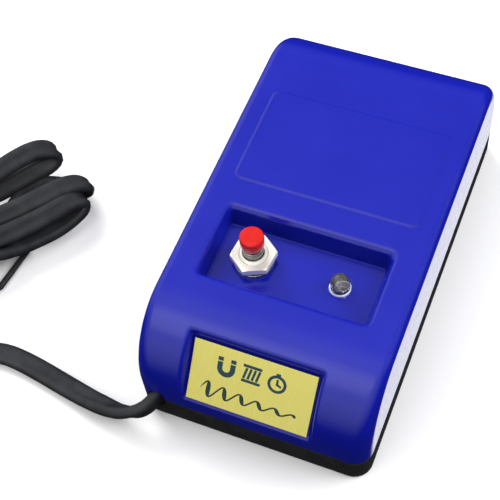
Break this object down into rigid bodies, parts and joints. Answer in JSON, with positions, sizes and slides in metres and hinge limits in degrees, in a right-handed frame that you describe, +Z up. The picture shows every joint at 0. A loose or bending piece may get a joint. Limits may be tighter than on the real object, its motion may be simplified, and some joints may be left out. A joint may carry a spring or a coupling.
{
  "type": "watch demagnetizer",
  "caption": "Bench demagnetizer for watches: blue loaf-shaped housing on a black base, push button and indicator in a pocket, flat mains flex in a hank.",
  "frame": {"origin": "bottom centre of the body, on the surface it stands on", "axes": "+Y from the label end to the far end, +Z up, +X to the indicator's side"},
  "size_m": [0.19, 0.1623, 0.0388],
  "materials": {
    "housing_blue": "gloss moulded blue ABS",
    "base_black": "satin black moulding",
    "gold_plate": "brushed gold foil on aluminium",
    "red_cap": "satin red moulding",
    "nickel": "bright nickel plate",
    "steel": "zinc plated",
    "brass_contact": "stamped brass",
    "phenolic": "brown phenolic",
    "clear_lens": "water clear epoxy",
    "core_steel": "varnished silicon steel laminations",
    "bobbin_nylon": "natural nylon",
    "copper_wire": "enamelled copper",
    "coil_tape": "yellow polyester tape",
    "resistor_body": "lacquered",
    "diode_body": "moulded epoxy",
    "sleeve_black": "heat-shrink",
    "flex_black": "satin black PVC",
    "tie_black": "PVC coated wire",
    "plug_black": "satin black PVC",
    "wire_brown": "PVC insulation",
    "wire_red": "PVC insulation",
    "wire_blue": "PVC insulation",
    "wire_black": "PVC insulation",
    "wire_yellow": "PVC insulation"
  },
  "bodies": {
    "body": {"base_cover": "base_black", "base_screw_1": "steel", "base_screw_2": "steel", "base_screw_3": "steel", "base_screw_4": "steel", "bracket_screw_front": "steel", "bracket_screw_rear": "steel", "coil_bobbin": "bobbin_nylon", "coil_tape": "coil_tape", "coil_winding": "copper_wire", "cord_clamp": "bobbin_nylon", "cord_clamp_screw_1": "steel", "cord_clamp_screw_2": "steel", "cord_hank": "flex_black", "cord_lead": "flex_black", "cord_tail": "flex_black", "cord_tie": "tie_black", "core_bolt_left": "steel", "core_bolt_right": "steel", "core_bracket_front": "steel", "core_bracket_rear": "steel", "core_nut_left": "steel", "core_nut_right": "steel", "core_stack": "core_steel", "label_plate": "gold_plate", "led_diode": "diode_body", "led_lead_anode": "steel", "led_lead_cathode": "steel", "led_lens": "clear_lens", "led_resistor": "resistor_body", "plug_blade_1": "nickel", "plug_blade_2": "nickel", "plug_body": "plug_black", "splice_sleeve": "sleeve_black", "switch_base": "phenolic", "switch_bush": "nickel", "switch_lock_washer": "steel", "switch_nut": "nickel", "switch_spacer": "steel", "switch_spring": "steel", "switch_terminal_1": "brass_contact", "switch_terminal_2": "brass_contact", "top_housing": "housing_blue", "wire_coil_to_mains": "wire_blue", "wire_led_feed": "wire_yellow", "wire_led_return": "wire_black", "wire_mains_to_switch": "wire_brown", "wire_switch_to_coil": "wire_red"},
    "button": {"button_cap": "red_cap", "button_plunger": "nickel", "switch_contact": "brass_contact"}
  },
  "joints": [
    {"name": "button_press", "type": "slide", "parent": "body", "child": "button", "axis": [0, 0, -1], "range_m": [0, 0.0015], "stiffness_N_per_m": 700, "springref_m": -0.0015, "deforming": ["switch_spring"]}
  ]
}
